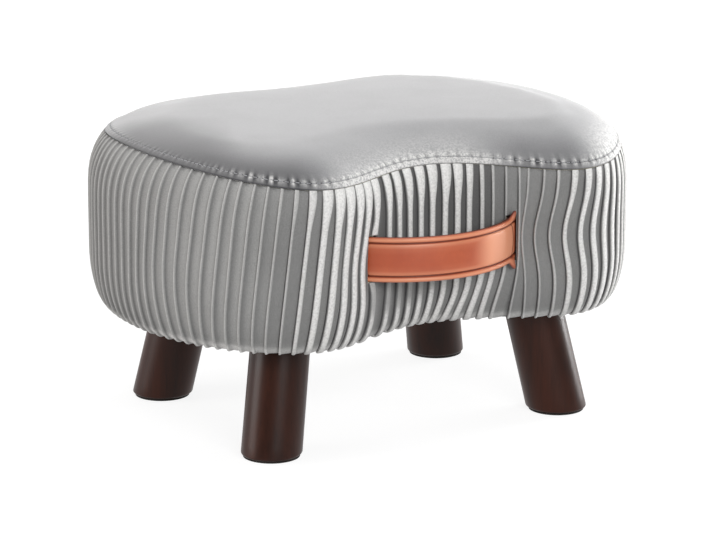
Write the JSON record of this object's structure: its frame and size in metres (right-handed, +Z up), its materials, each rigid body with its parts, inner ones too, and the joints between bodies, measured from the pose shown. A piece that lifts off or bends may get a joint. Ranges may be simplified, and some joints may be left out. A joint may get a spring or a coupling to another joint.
{
  "type": "footstool",
  "caption": "Low upholstered footstool with a bean-shaped velvet seat, knife-pleated sides, a leather carry strap across the front waist and splayed round wooden legs.",
  "frame": {"origin": "on the floor, under the centre of the whole stool's box, strap included", "axes": "+Z up; the seat's length runs along X; the waist with the carry strap faces -Y"},
  "size_m": [0.4086, 0.3164, 0.2287],
  "materials": {
    "velvet_top": "short-pile velvet, soft sheen",
    "velvet_pleated": "short-pile velvet in knife pleats",
    "foam": "cut polyurethane foam",
    "plywood": "raw plywood and batten",
    "hardboard": "thin pressed board",
    "non_woven": "black non-woven cloth",
    "stained_wood": "dark stain under satin lacquer",
    "felt": "pressed felt",
    "leather": "smooth tan leather, slight gloss",
    "webbing": "woven backing",
    "zinc_steel": "zinc-plated"
  },
  "bodies": {
    "root": {"top_cover": "velvet_top", "pleated_cover_front": "velvet_pleated", "pleated_cover_rear": "velvet_pleated", "seat_foam": "foam", "side_padding": "foam", "seat_board": "plywood", "base_board": "plywood", "side_wall": "hardboard", "post_front_left": "plywood", "post_front_right": "plywood", "post_rear_left": "plywood", "post_rear_right": "plywood", "post_rear_inner_left": "plywood", "post_rear_inner_right": "plywood", "handle_block_left": "plywood", "handle_block_right": "plywood", "upper_screw_post_front_left": "zinc_steel", "lower_screw_post_front_left": "zinc_steel", "upper_screw_post_front_right": "zinc_steel", "lower_screw_post_front_right": "zinc_steel", "upper_screw_post_rear_left": "zinc_steel", "lower_screw_post_rear_left": "zinc_steel", "upper_screw_post_rear_right": "zinc_steel", "lower_screw_post_rear_right": "zinc_steel", "upper_screw_post_rear_inner_left": "zinc_steel", "lower_screw_post_rear_inner_left": "zinc_steel", "upper_screw_post_rear_inner_right": "zinc_steel", "lower_screw_post_rear_inner_right": "zinc_steel", "upper_screw_handle_block_left": "zinc_steel", "lower_screw_handle_block_left": "zinc_steel", "upper_screw_handle_block_right": "zinc_steel", "lower_screw_handle_block_right": "zinc_steel", "handle_strap": "leather", "handle_backing": "webbing", "clamp_plate_left": "zinc_steel", "clamp_screw_left_lower": "zinc_steel", "clamp_screw_left_upper": "zinc_steel", "clamp_plate_right": "zinc_steel", "clamp_screw_right_lower": "zinc_steel", "clamp_screw_right_upper": "zinc_steel", "leg_front_left": "stained_wood", "foot_pad_front_left": "felt", "hanger_bolt_front_left": "zinc_steel", "tee_nut_front_left": "zinc_steel", "leg_front_right": "stained_wood", "foot_pad_front_right": "felt", "hanger_bolt_front_right": "zinc_steel", "tee_nut_front_right": "zinc_steel", "leg_rear_left": "stained_wood", "foot_pad_rear_left": "felt", "hanger_bolt_rear_left": "zinc_steel", "tee_nut_rear_left": "zinc_steel", "leg_rear_right": "stained_wood", "foot_pad_rear_right": "felt", "hanger_bolt_rear_right": "zinc_steel", "tee_nut_rear_right": "zinc_steel", "dust_cover": "non_woven"}
  },
  "joints": []
}
